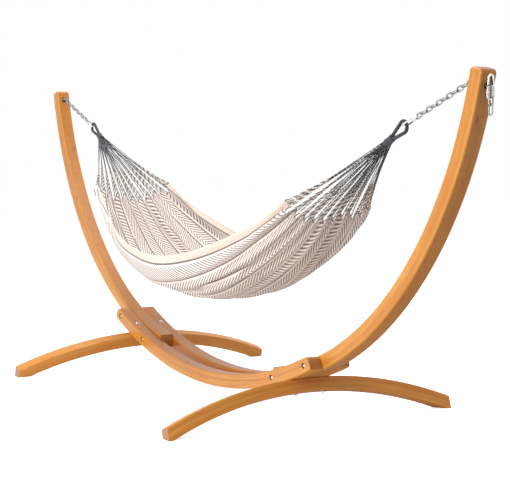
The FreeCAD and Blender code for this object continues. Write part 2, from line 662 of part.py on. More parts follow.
def make_tag():
    """A small cloth label that hangs on the left end of the front edge, just off the cloth."""
    top = cloth_point(TAG_PLACE, -1)
    along = (cloth_point(TAG_PLACE + 0.02, -1) - cloth_point(TAG_PLACE - 0.02, -1)).normalize()
    outward = (cloth_point(TAG_PLACE, TAG_SIDE) - top).cross(along).normalize()
    width, thickness = size("tag_width"), size("tag_thickness")
    tag = Part.makeBox(width, size("tag_drop"), thickness, V(-width / 2, -size("tag_rise"), 0))
    start = top + outward * (size("cloth_thickness") / 2 + size("tag_standoff"))
    tag.Placement = frame_placement(start, along, along.cross(outward))
    feature("edge_tag", [tag])


# ---------------------------------------------------------------- assembly

def build():
    make_arm("right_arm", False)
    make_arm("left_arm", True)
    make_rail("front_rail", False)
    make_rail("rear_rail", True)
    make_crossbar("right_crossbar", False)
    make_crossbar("left_crossbar", True)
    through_fasteners()
    crossbar_fasteners()
    cloth = make_cloth()
    for side, turned in (("right", False), ("left", True)):
        make_chains(side, turned)
        make_hooks(side, turned)
        whipping, neck_end = make_eye(side, turned)
        make_cords(side, whipping, neck_end, cloth, turned)
    make_tag()
    doc.recompute()


def export():
    for thing in doc.Objects:
        if "Invalid" in thing.State or "Error" in thing.State:
            raise RuntimeError(f"{thing.Name} failed: {thing.State}")
    nodes = [thing for thing in doc.Objects
             if thing.TypeId == "PartDesign::Body" or thing.TypeId == "Part::Feature"]
    for node in nodes:
        if node.Shape.isNull() or not node.Shape.isValid():
            raise RuntimeError(f"{node.Label} has no valid shape")
    os.makedirs("parts", exist_ok=True)
    for node in nodes:
        node.Shape.exportStep(f"parts/{node.Label}.step")
        box = node.Shape.BoundBox
        print(f"{node.Label}: {len(node.Shape.Solids)} solids, {box.XLength:.0f} x {box.YLength:.0f} x "
              f"{box.ZLength:.0f} mm")


build()
export()
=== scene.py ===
"""Looks for a cotton hammock on an arched larch stand: wood, steel, ropes, fringe and cloth."""

import json
import random
from math import acos, atan2, cos, pi, radians, sin, sqrt

import bpy
from mathutils import Matrix, Vector, noise


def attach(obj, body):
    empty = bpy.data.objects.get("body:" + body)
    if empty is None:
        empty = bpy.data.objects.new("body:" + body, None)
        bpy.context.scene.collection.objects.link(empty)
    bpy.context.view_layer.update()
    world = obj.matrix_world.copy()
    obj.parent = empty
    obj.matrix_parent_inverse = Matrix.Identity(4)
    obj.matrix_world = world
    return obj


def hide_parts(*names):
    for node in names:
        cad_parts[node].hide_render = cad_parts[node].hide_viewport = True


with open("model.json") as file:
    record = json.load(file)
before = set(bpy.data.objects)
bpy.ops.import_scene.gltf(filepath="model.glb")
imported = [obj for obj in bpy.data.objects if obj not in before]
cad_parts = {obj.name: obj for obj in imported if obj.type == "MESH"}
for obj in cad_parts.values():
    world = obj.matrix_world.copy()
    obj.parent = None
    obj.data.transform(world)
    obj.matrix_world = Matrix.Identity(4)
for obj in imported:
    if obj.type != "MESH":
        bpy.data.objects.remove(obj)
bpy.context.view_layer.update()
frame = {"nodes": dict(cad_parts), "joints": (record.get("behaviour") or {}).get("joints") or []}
SIDES = {"left": -1, "right": 1}

# Stand, in metres: centres of the arcs that the beams follow, as in the frame.
ARM_CENTRE_X, ARM_CENTRE_Z, ARM_INNER = 0.3254, 1.887, 1.700
RAIL_CENTRE_Z, RAIL_INNER = 2.6178, 2.500
BAR_TILT, BAR_TOP, BAR_CROWN, BAR_DEPTH = radians(18.5), 1.820, 0.003, 0.062
BAR_SEAT_X, BAR_SEAT_Z = 0.8142, 0.1844

# Larch boards and their grain, in metres.
LAYER = 0.0115  # thickness of one board in a laminated beam
PITH_BELOW, PITH_ASIDE = 0.025, 0.05  # where the heart of the log lies from a board
RING_GAP = 0.005  # rings are about 2 mm apart in larch and are drawn wider so that they show
RING_WANDER = 0.022

# Cloth, in metres.
CLOTH_FLAT = (1.15, 2.22)
HALF_LENGTH = 1.0
HEM = 0.045
BANDS = 10
BAND = (CLOTH_FLAT[0] - 2 * HEM) / BANDS
MID_HALF_WIDTH, END_HALF_WIDTH = 0.420, 0.225
MID_EDGE, END_EDGE = 0.700, 0.985  # height of the two long edges
MID_DEPTH, END_DEPTH = 0.235, 0.085
BELLY, RISE, TUCK, SQUARING = 2.2, 1.9, 0.06, 0.9  # how the hanging curves bend
FOLD, END_FOLD = 0.0045, 0.0200
FOLDS_START = 0.25  # the deep folds grow from here towards the ends, as a share of the half length
WRINKLE, FINE_WRINKLE = 0.020, 0.006
SCALLOP, SCALLOPS_START = 0.013, 0.9
THICKNESS = 0.0016
HEM_CORD = 0.0014
SECTION_STEPS = 96
ROWS, COLUMNS = 200, 180

# Weave, in metres.
TWILL_GAP = 0.027  # along the cloth: 14 mm from line to line, where real ones are 1 to 2 mm apart
TWILL_LEAN = 1.7
DARK_STRIPE, BOTH_STRIPES = 0.010, 0.023
STRIPE_SHIFT = 0.04  # as a share of a band
SELVEDGE = HEM - 0.004
THREAD = 0.0012

# Settling of the cloth.
SETTLE_STEPS = 30
SOFT_GRIP = 0.02  # hold on the middle, where 1 is the full hold that both ends have
MOST_MOVE = 0.040  # in metres

# Rope eyes and necks, in metres.
ROPE_RADIUS = 0.0075
NECK_SLOPE = radians(30)
EYE_BEND, EYE_TO_FOOT, EYE_GAP = 0.0235, 0.0825, 0.007125
NECK_LENGTH, NECK_RADIUS, NECK_OVERLAP = 0.048, 0.014, 0.004
NECK_LIP, NECK_FLARE = 0.0015, 0.0025  # added to the radius near the start and at the end
EYE_WINDING, NECK_WINDING = 0.00125, 0.001  # taken off the radius for the cord wound on top
EYE_STEPS, NECK_STEPS = 28, 12

# Fringe, in metres.
CORDS_IN_BUNDLE = 5
BUNDLE_WIDTH = 0.088
CORD_IN_NECK = 0.006
NECK_SPREAD, RING_HEIGHT, RING_WIDTH = 0.024, 0.009, 0.004  # how the cords start in the neck
EDGE_GAP = 0.012  # from the cloth's corner to the outermost cord
CORD_END = 0.996  # where the cords meet the cloth, as a share of its half length
CORD_SAG = (0.002, 0.007)
THIN_PLY, THICK_PLY = 0.0008, 0.0019
THICKENS_FROM, THICKENS_OVER = 0.45, 0.3  # as shares of a cord's length
KNOT_PITCH, KNOT_START, KNOT_GIRTH = 0.0012, 0.008, 0.0026
CORD_STEPS, KNOT_STEPS = 12, 8

# Studio: places in metres, lens and sensor in millimetres.
FLOOR_REACH = 14.0
LENS, SENSOR = 101.54, 36.0
CAMERA_AT = (6.1316, -3.2853, 1.2767)
CAMERA_YAW, CAMERA_PITCH = radians(150.393), radians(-4.353)


# ---------------------------------------------------------------- small tools

def colour(code):
    """Linear RGBA from an sRGB hex value."""
    parts = [int(code[i:i + 2], 16) / 255 for i in (1, 3, 5)]
    return [c / 12.92 if c <= 0.04045 else ((c + 0.055) / 1.055) ** 2.4 for c in parts] + [1.0]


def add(tree, kind, inputs=None, **settings):
    """Adds a node with its settings, values and links, and gives its first output."""
    node = tree.nodes.new(kind)
    for name, value in settings.items():
        setattr(node, name, value)
    for key, value in (inputs or {}).items():
        if isinstance(value, bpy.types.NodeSocket):
            tree.links.new(value, node.inputs[key])
        else:
            node.inputs[key].default_value = value
    return node.outputs[0] if node.outputs else node


def ramp(tree, factor, stops):
    """A colour ramp through (position, hex) stops."""
    output = add(tree, "ShaderNodeValToRGB", {"Fac": factor})
    elements = output.node.color_ramp.elements
    while len(elements) < len(stops):
        elements.new(0.5)
    for element, (position, code) in zip(elements, stops):
        element.position, element.color = position, colour(code)
    return output


def new_material(name, **values):
    """A material with one Principled shader; values go on its own sockets."""
    material = bpy.data.materials.new(name)
    material.use_nodes = True
    tree = material.node_tree
    shader = tree.nodes["Principled BSDF"]
    for key, value in values.items():
        shader.inputs[key.replace("_", " ")].default_value = value
    return material, tree, shader


def paint(node, material):
    """Gives a CAD node its finish."""
    for slot in frame["nodes"][node].material_slots:
        slot.material = material


def new_object(name, verts, edges, faces, material=None):
    """A mesh object at the origin, with its place in its points."""
    mesh = bpy.data.meshes.new(name)
    mesh.from_pydata([tuple(v) for v in verts], edges, faces)
    mesh.update()
    thing = bpy.data.objects.new(name, mesh)
    bpy.context.collection.objects.link(thing)
    if material:
        mesh.materials.append(material)
    return thing


def bake_modifiers(thing):
    """Turns the evaluated object into a plain mesh."""
    graph = bpy.context.evaluated_depsgraph_get()
    mesh = bpy.data.meshes.new_from_object(thing.evaluated_get(graph), depsgraph=graph)
    thing.modifiers.clear()
    old, thing.data = thing.data, mesh
    bpy.data.meshes.remove(old)
    mesh.name = thing.name


def smooth(share):
    """Eases from 0 to 1."""
    share = min(max(share, 0), 1)
    return share * share * (3 - 2 * share)


# ---------------------------------------------------------------- wood

def laminated_larch():
    """Oiled larch boards glued into a bent beam: grain along the arc, a thin line at each joint."""
    tree = bpy.data.node_groups.new("laminated larch", "ShaderNodeTree")
    for name, kind in (("Centre", "NodeSocketVector"), ("Turn", "NodeSocketVector"),
                       ("Inner Radius", "NodeSocketFloat"), ("Seed", "NodeSocketFloat"),
                       ("Warmth", "NodeSocketFloat")):
        tree.interface.new_socket(name, in_out="INPUT", socket_type=kind)
    for name, kind in (("Colour", "NodeSocketColor"), ("Height", "NodeSocketFloat")):
        tree.interface.new_socket(name, in_out="OUTPUT", socket_type=kind)
    given = tree.nodes.new("NodeGroupInput").outputs
    here = add(tree, "ShaderNodeTexCoord").node.outputs
    place = add(tree, "ShaderNodeMapping", {"Vector": here["Object"], "Location": given["Centre"],
                                            "Rotation": given["Turn"]}, vector_type="TEXTURE")
    facing = add(tree, "ShaderNodeMapping", {"Vector": here["Normal"], "Rotation": given["Turn"]},
                 vector_type="TEXTURE")
    x, y, z = add(tree, "ShaderNodeSeparateXYZ", {0: place}).node.outputs
    nx, _, nz = add(tree, "ShaderNodeSeparateXYZ", {0: facing}).node.outputs

    # Distance from the arc's centre, and length along the arc.
    flat = add(tree, "ShaderNodeCombineXYZ", {"X": x, "Z": z})
    radius = add(tree, "ShaderNodeVectorMath", {0: flat}, operation="LENGTH").node.outputs["Value"]
    drop = add(tree, "ShaderNodeMath", {0: z}, operation="ABSOLUTE")
    angle = add(tree, "ShaderNodeMath", {0: x, 1: drop}, operation="ARCTAN2")
    along = add(tree, "ShaderNodeMath", {0: angle, 1: given["Inner Radius"]}, operation="MULTIPLY")
    depth = add(tree, "ShaderNodeMath", {0: radius, 1: given["Inner Radius"]}, operation="SUBTRACT")
    boards = add(tree, "ShaderNodeMath", {0: depth, 1: LAYER}, operation="DIVIDE")
    board = add(tree, "ShaderNodeMath", {0: boards}, operation="FLOOR")
    in_board = add(tree, "ShaderNodeMath", {0: boards}, operation="FRACT")
    number = add(tree, "ShaderNodeMath", {0: board, 1: given["Seed"]}, operation="ADD")
    chance = add(tree, "ShaderNodeTexWhiteNoise", {"W": number}, noise_dimensions="1D")
    luck = chance.node.outputs["Color"]
    luck_x, luck_y, _ = add(tree, "ShaderNodeSeparateXYZ", {0: luck}).node.outputs

    # Growth rings are cylinders round a pith line that lies beside each board.
    spot = add(tree, "ShaderNodeCombineXYZ", {"X": along, "Y": y, "Z": number})
    stretched = add(tree, "ShaderNodeVectorMath", {0: spot, 1: (0.7, 5.0, 5.0)}, operation="MULTIPLY")
    wander = add(tree, "ShaderNodeTexNoise", {"Vector": stretched, "Scale": 1.0, "Detail": 3.0})
    pith_y = add(tree, "ShaderNodeMapRange", {"Value": luck_x, "To Min": -PITH_ASIDE,
                                              "To Max": PITH_ASIDE})
    off_y = add(tree, "ShaderNodeMath", {0: y, 1: pith_y}, operation="SUBTRACT")
    off_z = add(tree, "ShaderNodeMath", {0: in_board, 1: LAYER, 2: PITH_BELOW}, operation="MULTIPLY_ADD")
    off = add(tree, "ShaderNodeCombineXYZ", {"X": off_y, "Y": off_z})
    reach = add(tree, "ShaderNodeVectorMath", {0: off}, operation="LENGTH").node.outputs["Value"]
    bent = add(tree, "ShaderNodeMath", {0: wander, 1: RING_WANDER, 2: reach}, operation="MULTIPLY_ADD")
    rings = add(tree, "ShaderNodeMath", {0: bent, 1: RING_GAP}, operation="DIVIDE")
    ring = add(tree, "ShaderNodeMath", {0: rings}, operation="FRACT")
    late = ramp(tree, ring, [(0.0, "#000000"), (0.55, "#2a2a2a"), (0.88, "#ffffff"), (1.0, "#000000")])

    # Fibres: streaks about 110 mm long and 2.4 mm wide, drawn far coarser than real ones.
    fibre_at = add(tree, "ShaderNodeCombineXYZ", {"X": along, "Y": y, "Z": depth})
    thin = add(tree, "ShaderNodeVectorMath", {0: fibre_at, 1: (9.0, 420.0, 420.0)}, operation="MULTIPLY")
    fibre = add(tree, "ShaderNodeTexNoise", {"Vector": thin, "Scale": 1.0, "Detail": 2.0})
    broad_at = add(tree, "ShaderNodeVectorMath", {0: fibre_at, 1: (2.2, 14.0, 30.0)}, operation="MULTIPLY")
    broad = add(tree, "ShaderNodeTexNoise", {"Vector": broad_at, "Scale": 1.0, "Detail": 2.0})

    tone = add(tree, "ShaderNodeMath", {0: luck_y, 1: 0.5, 2: broad}, operation="MULTIPLY_ADD")
    early = ramp(tree, tone, [(0.35, "#b46e20"), (0.65, "#c58029"), (1.05, "#da9b40")])
    warm = add(tree, "ShaderNodeMix", {"Factor": given["Warmth"], "A": early, "B": colour("#c5751d")},
               data_type="RGBA").node.outputs["Result"]
    strength = add(tree, "ShaderNodeMath", {0: late, 1: 0.42}, operation="MULTIPLY")
    grained = add(tree, "ShaderNodeMix", {"Factor": strength, "A": warm, "B": colour("#9c5a22")},
                  data_type="RGBA").node.outputs["Result"]
    streak = add(tree, "ShaderNodeMapRange", {"Value": fibre, "From Min": 0.3, "From Max": 0.7,
                                              "To Min": 0.86, "To Max": 1.08})
    streaked = add(tree, "ShaderNodeVectorMath", {0: grained, "Scale": streak}, operation="SCALE")

    # Glue lines, knots and end grain.
    edge = add(tree, "ShaderNodeMath", {0: in_board, 1: 0.5}, operation="SUBTRACT")
    edge = add(tree, "ShaderNodeMath", {0: edge}, operation="ABSOLUTE")
    glue = add(tree, "ShaderNodeMapRange", {"Value": edge, "From Min": 0.44, "From Max": 0.5,
                                            "To Min": 0.0, "To Max": 0.7})
    knot_at = add(tree, "ShaderNodeVectorMath", {0: spot, 1: (3.2, 7.0, 3.7)}, operation="MULTIPLY")
    knots = add(tree, "ShaderNodeTexVoronoi", {"Vector": knot_at, "Scale": 1.0})
    knot = add(tree, "ShaderNodeMapRange", {"Value": knots, "From Min": 0.03, "From Max": 0.075,
                                            "To Min": 0.75, "To Max": 0.0})
    lined = add(tree, "ShaderNodeMix", {"Factor": glue, "A": streaked, "B": colour("#a0642c")},
                data_type="RGBA").node.outputs["Result"]
    knotted = add(tree, "ShaderNodeMix", {"Factor": knot, "A": lined, "B": colour("#7a4019")},
                  data_type="RGBA").node.outputs["Result"]
    first = add(tree, "ShaderNodeMath", {0: nx, 1: z}, operation="MULTIPLY")
    second = add(tree, "ShaderNodeMath", {0: nz, 1: x}, operation="MULTIPLY")
    across = add(tree, "ShaderNodeMath", {0: first, 1: second}, operation="SUBTRACT")
    across = add(tree, "ShaderNodeMath", {0: across, 1: radius}, operation="DIVIDE")
    across = add(tree, "ShaderNodeMath", {0: across}, operation="ABSOLUTE")
    cut = add(tree, "ShaderNodeMapRange", {"Value": across, "From Min": 0.75, "From Max": 0.9})
    end_wood = ramp(tree, late, [(0.0, "#a96e38"), (1.0, "#70401c")])
    final = add(tree, "ShaderNodeMix", {"Factor": cut, "A": knotted, "B": end_wood},
                data_type="RGBA").node.outputs["Result"]
    raised = add(tree, "ShaderNodeMath", {0: late, 1: 0.4, 2: fibre}, operation="MULTIPLY_ADD")
    height = add(tree, "ShaderNodeMath", {0: raised, 1: glue}, operation="SUBTRACT")
    add(tree, "NodeGroupOutput", {"Colour": final, "Height": height})
    return tree


def beam_finish(name, group, centre, turn, inner, seed, warmth):
    """Larch under two coats of oil: a soft sheen above, and duller undersides with one thin coat."""
    material, tree, shader = new_material(name)
    wood = add(tree, "ShaderNodeGroup", node_tree=group).node
    wood.inputs["Centre"].default_value = centre
    wood.inputs["Turn"].default_value = turn
    wood.inputs["Inner Radius"].default_value = inner
    wood.inputs["Seed"].default_value = seed
    wood.inputs["Warmth"].default_value = warmth
    bump = add(tree, "ShaderNodeBump", {"Height": wood.outputs["Height"], "Strength": 0.15,
                                        "Distance": 0.0005})
    facing = add(tree, "ShaderNodeTexCoord").node.outputs["Normal"]
    upward = add(tree, "ShaderNodeSeparateXYZ", {0: facing}).node.outputs["Z"]
    dull = add(tree, "ShaderNodeMapRange", {"Value": upward, "From Min": -0.7, "From Max": -0.1,
                                            "To Min": 0.8, "To Max": 0.34})
    streaky = add(tree, "ShaderNodeMath", {0: wood.outputs["Height"], 1: 0.1, 2: dull},
                  operation="MULTIPLY_ADD")
    tree.links.new(wood.outputs["Colour"], shader.inputs["Base Color"])
    tree.links.new(streaky, shader.inputs["Roughness"])
    tree.links.new(bump, shader.inputs["Normal"])
    return material


def finish_beams():
    """Each beam has its own arc, its own boards and its own warmth of colour."""
    group = laminated_larch()
    for number, (side, sign) in enumerate(SIDES.items()):
        centre = (sign * ARM_CENTRE_X, 0, ARM_CENTRE_Z)
        paint(f"{side}_arm", beam_finish(f"larch {side} arm", group, centre, (0, 0, 0), ARM_INNER,
                                         11.0 + 20 * number, 0.12))
        tilt = -sign * BAR_TILT
        turn = (Matrix.Rotation(tilt, 3, "Y") @ Matrix.Rotation(pi / 2, 3, "Z")).to_euler("XYZ")
        drop = BAR_TOP - BAR_CROWN
        centre = (sign * (BAR_SEAT_X + drop * sin(BAR_TILT)), 0, BAR_SEAT_Z - drop * cos(BAR_TILT))
        paint(f"{side}_crossbar", beam_finish(f"larch {side} crossbar", group, centre, tuple(turn),
                                              BAR_TOP - BAR_DEPTH, 51.0 + 20 * number, 0.4))
    for number, rail in enumerate(("front", "rear")):
        paint(f"{rail}_rail", beam_finish(f"larch {rail} rail", group, (0, 0, RAIL_CENTRE_Z), (0, 0, 0),
                                          RAIL_INNER, 91.0 + 20 * number, 0.45))


# ---------------------------------------------------------------- steel

def galvanised_steel():
    """Zinc-plated welded chain: dull silver with a faint mottle, about 6 mm across."""
    material, tree, shader = new_material("galvanised steel", Metallic=1.0)
    place = add(tree, "ShaderNodeTexCoord").node.outputs["Object"]
    mottle = add(tree, "ShaderNodeTexNoise", {"Vector": place, "Scale": 180.0, "Detail": 3.0})
    tree.links.new(ramp(tree, mottle, [(0.3, "#7d7e80"), (0.7, "#a9a9a8")]), shader.inputs["Base Color"])
    rough = add(tree, "ShaderNodeMapRange", {"Value": mottle, "To Min": 0.28, "To Max": 0.5})
    tree.links.new(rough, shader.inputs["Roughness"])
    return material


def bright_steel():
    """Polished nickel-plated forgings and bolt heads, with turning marks about 1 mm across."""
    material, tree, shader = new_material("bright plated steel", Metallic=1.0)
    place = add(tree, "ShaderNodeTexCoord").node.outputs["Object"]
    marks = add(tree, "ShaderNodeTexNoise", {"Vector": place, "Scale": 900.0, "Detail": 2.0})
    tree.links.new(ramp(tree, marks, [(0.3, "#c4c4c3"), (0.7, "#dfdfdd")]), shader.inputs["Base Color"])
    rough = add(tree, "ShaderNodeMapRange", {"Value": marks, "To Min": 0.14, "To Max": 0.3})
    bump = add(tree, "ShaderNodeBump", {"Height": marks, "Strength": 0.1, "Distance": 0.0001})
    tree.links.new(rough, shader.inputs["Roughness"])
    tree.links.new(bump, shader.inputs["Normal"])
    return material


def finish_steel():
    """Chains are galvanised; bolts and snap hooks are brightly plated."""
    chain, bright = galvanised_steel(), bright_steel()
    for node in frame["nodes"]:
        if "chain" in node:
            paint(node, chain)
        elif any(word in node for word in ("bolt", "nut", "washer", "hook", "spring")):
            paint(node, bright)


# ---------------------------------------------------------------- ropes and cords

def twisted_strands():
    """Geometry Nodes: two strands wound round each route, with an optional core."""
    tree = bpy.data.node_groups.new("twisted strands", "GeometryNodeTree")
    tree.interface.new_socket("Geometry", in_out="INPUT", socket_type="NodeSocketGeometry")
    for name, kind in (("Points", "NodeSocketInt"), ("Turns", "NodeSocketFloat"),
                       ("Strand Share", "NodeSocketFloat"), ("Core", "NodeSocketFloat"),
                       ("Sides", "NodeSocketInt"), ("Material", "NodeSocketMaterial")):
        tree.interface.new_socket(name, in_out="INPUT", socket_type=kind)
    tree.interface.new_socket("Geometry", in_out="OUTPUT", socket_type="NodeSocketGeometry")
    given = tree.nodes.new("NodeGroupInput").outputs
    route = add(tree, "GeometryNodeMeshToCurve", {"Mesh": given["Geometry"]})
    even = add(tree, "GeometryNodeResampleCurve", {"Curve": route, "Count": given["Points"]})
    tangent = add(tree, "GeometryNodeInputTangent")
    normal = add(tree, "GeometryNodeInputNormal")
    side = add(tree, "ShaderNodeVectorMath", {0: tangent, 1: normal}, operation="CROSS_PRODUCT")
    factor = add(tree, "GeometryNodeSplineParameter")
    girth = add(tree, "GeometryNodeInputNamedAttribute", {"Name": "girth"}, data_type="FLOAT")
    turn = add(tree, "ShaderNodeMath", {0: factor, 1: given["Turns"]}, operation="MULTIPLY")
    profile = add(tree, "GeometryNodeCurvePrimitiveCircle", {"Resolution": given["Sides"], "Radius": 1.0})
    strand_size = add(tree, "ShaderNodeMath", {0: girth, 1: given["Strand Share"]}, operation="MULTIPLY")
    pieces = []
    for half in (0.0, 0.5):
        phase = add(tree, "ShaderNodeMath", {0: turn, 1: half}, operation="ADD")
        angle = add(tree, "ShaderNodeMath", {0: phase, 1: 2 * pi}, operation="MULTIPLY")
        shifts = []
        for direction, wave in ((normal, "COSINE"), (side, "SINE")):
            amount = add(tree, "ShaderNodeMath", {0: angle}, operation=wave)
            amount = add(tree, "ShaderNodeMath", {0: amount, 1: girth}, operation="MULTIPLY")
            shifts.append(add(tree, "ShaderNodeVectorMath", {0: direction, "Scale": amount},
                              operation="SCALE"))
        shift = add(tree, "ShaderNodeVectorMath", {0: shifts[0], 1: shifts[1]}, operation="ADD")
        strand = add(tree, "GeometryNodeSetPosition", {"Geometry": even, "Offset": shift})
        solid = add(tree, "GeometryNodeCurveToMesh",
                    {"Curve": strand, "Profile Curve": profile, "Scale": strand_size, "Fill Caps": True})
        pieces.append(add(tree, "GeometryNodeStoreNamedAttribute",
                          {"Geometry": solid, "Name": "strand", "Value": half}, data_type="FLOAT",
                          domain="POINT"))
    core_profile = add(tree, "GeometryNodeCurvePrimitiveCircle", {"Resolution": 12, "Radius": 1.0})
    core_size = add(tree, "ShaderNodeMath", {0: girth, 1: given["Core"]}, operation="MULTIPLY")
    core = add(tree, "GeometryNodeCurveToMesh", {"Curve": even, "Profile Curve": core_profile,
                                                 "Scale": core_size, "Fill Caps": True})
    wanted = add(tree, "FunctionNodeCompare", {0: given["Core"], 1: 0.01}, data_type="FLOAT",
                 operation="GREATER_THAN")
    core = add(tree, "GeometryNodeSwitch", {"Switch": wanted, "True": core}, input_type="GEOMETRY")
    joined = add(tree, "GeometryNodeJoinGeometry").node
    for piece in (core, pieces[1], pieces[0]):
        tree.links.new(piece, joined.inputs[0])
    real = add(tree, "GeometryNodeRealizeInstances", {0: joined.outputs[0]})
    finished = add(tree, "GeometryNodeSetMaterial", {"Geometry": real, "Material": given["Material"]})
    add(tree, "NodeGroupOutput", {"Geometry": finished})
    return tree


def wind(name, routes, girths, tree, material, span=(0.0, 1.0), **inputs):
    """Makes one mesh from routes (lists of points), twisted or wound by the strand tree."""
    verts, edges, along, girth = [], [], [], []
    for route, widths in zip(routes, girths):
        start = len(verts)
        verts += route
        edges += [(start + i, start + i + 1) for i in range(len(route) - 1)]
        along += [span[0] + (span[1] - span[0]) * i / (len(route) - 1) for i in range(len(route))]
        girth += widths
    thing = new_object(name, verts, edges, [])
    for label, values in (("along", along), ("girth", girth)):
        thing.data.attributes.new(label, "FLOAT", "POINT").data.foreach_set("value", values)
    modifier = thing.modifiers.new("strands", "NODES")
    modifier.node_group = tree
    sockets = {item.name: item.identifier for item in tree.interface.items_tree
               if item.item_type == "SOCKET" and item.in_out == "INPUT"}
    for key, value in {**inputs, "Material": material}.items():
        modifier[sockets[key.replace("_", " ")]] = value
    bake_modifiers(thing)
    thing.data.shade_smooth()
    return thing


def charcoal_cord():
    """Waxed cotton cord wound tight round the rope eyes: near black, dry and a little fuzzy.

    The fuzz is about 1.4 mm across.
    """
    material, tree, shader = new_material("charcoal cord winding", Roughness=0.75, Sheen_Weight=0.2)
    place = add(tree, "ShaderNodeTexCoord").node.outputs["Object"]
    fuzz = add(tree, "ShaderNodeTexNoise", {"Vector": place, "Scale": 700.0, "Detail": 3.0})
    tree.links.new(ramp(tree, fuzz, [(0.3, "#1b1b1f"), (0.75, "#43444b")]), shader.inputs["Base Color"])
    bump = add(tree, "ShaderNodeBump", {"Height": fuzz, "Strength": 0.5, "Distance": 0.0004})
    tree.links.new(bump, shader.inputs["Normal"])
    return material


def fringe_cord():
    """Two-ply cotton: charcoal at the loops, one ply turning cream towards the cloth.

    Its flecks are about 11 mm long.
    """
    material, tree, shader = new_material("mottled cotton cord", Roughness=0.85, Sheen_Weight=0.2)
    place = add(tree, "ShaderNodeTexCoord").node.outputs["Object"]
    along = add(tree, "ShaderNodeAttribute", attribute_name="along").node.outputs["Fac"]
    strand = add(tree, "ShaderNodeAttribute", attribute_name="strand").node.outputs["Fac"]
    fuzz = add(tree, "ShaderNodeTexNoise", {"Vector": place, "Scale": 90.0, "Detail": 2.0})
    wavering = add(tree, "ShaderNodeMath", {0: fuzz, 1: 0.5, 2: along}, operation="MULTIPLY_ADD")
    fade = add(tree, "ShaderNodeMapRange", {"Value": wavering, "From Min": 0.74, "From Max": 0.96})
    pale_ply = add(tree, "ShaderNodeMapRange", {"Value": strand, "From Min": 0.2, "From Max": 0.3})
    dark = ramp(tree, fuzz, [(0.3, "#232328"), (0.6, "#4b4b52"), (0.8, "#706e72")])
    flecked = ramp(tree, fuzz, [(0.3, "#6a5c56"), (0.4, "#dccfc3"), (0.7, "#efe4d8")])
    brown = ramp(tree, fuzz, [(0.3, "#2f2a2a"), (0.6, "#675953")])
    plies = add(tree, "ShaderNodeMix", {"Factor": pale_ply, "A": brown, "B": flecked},
                data_type="RGBA").node.outputs["Result"]
    mixed = add(tree, "ShaderNodeMix", {"Factor": fade, "A": dark, "B": plies},
                data_type="RGBA").node.outputs["Result"]
    tree.links.new(mixed, shader.inputs["Base Color"])
    return material


def neck_frame(sign):
    """Start of the rope eye, direction down the neck and direction across it."""
    joint = next(j for j in frame["joints"] if j["name"] == "hammock_roll")
    roll = Vector((sign * abs(joint["pos_m"][0]), 0, joint["pos_m"][2]))
    run = Vector((-sign * cos(NECK_SLOPE), 0, -sin(NECK_SLOPE)))
    square = Vector((sin(NECK_SLOPE), 0, -sign * cos(NECK_SLOPE)))
    return roll, run, square


def make_eye(side, tree, material):
    """The bent rope of the eye under its winding, and the wound neck below it."""
    roll, run, square = neck_frame(SIDES[side])
    centre = roll + run * EYE_BEND
    lean = atan2(EYE_GAP, EYE_TO_FOOT) + acos(EYE_BEND / sqrt(EYE_TO_FOOT ** 2 + EYE_GAP ** 2))
    route = [centre + run * EYE_TO_FOOT + square * EYE_GAP]
    for i in range(EYE_STEPS + 1):
        angle = lean + (2 * pi - 2 * lean) * i / EYE_STEPS
        route.append(centre + run * (EYE_BEND * cos(angle)) + square * (EYE_BEND * sin(angle)))
    route.append(centre + run * EYE_TO_FOOT - square * EYE_GAP)
    eye = wind(f"{side}_wound_eye", [route], [[ROPE_RADIUS - EYE_WINDING] * len(route)], tree, material,
               Points=820, Turns=49.0, Strand_Share=0.2, Core=0.97, Sides=6)
    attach(eye, "hammock")
    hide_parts(f"{side}_loop_eye")

    waist = centre + run * (EYE_TO_FOOT - NECK_OVERLAP)
    route, widths = [], []
    for i in range(NECK_STEPS + 1):
        share = i / NECK_STEPS
        route.append(waist + run * (NECK_LENGTH * share))
        bulge = min(1, share * 8) * NECK_LIP + max(0, share - 0.6) / 0.4 * NECK_FLARE
        widths.append(NECK_RADIUS - NECK_WINDING + bulge)
    neck = wind(f"{side}_wound_neck", [route], [widths], tree, material,
                Points=300, Turns=11.0, Strand_Share=0.09, Core=0.97, Sides=6)
    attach(neck, "hammock")
    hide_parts(f"{side}_loop_whipping")


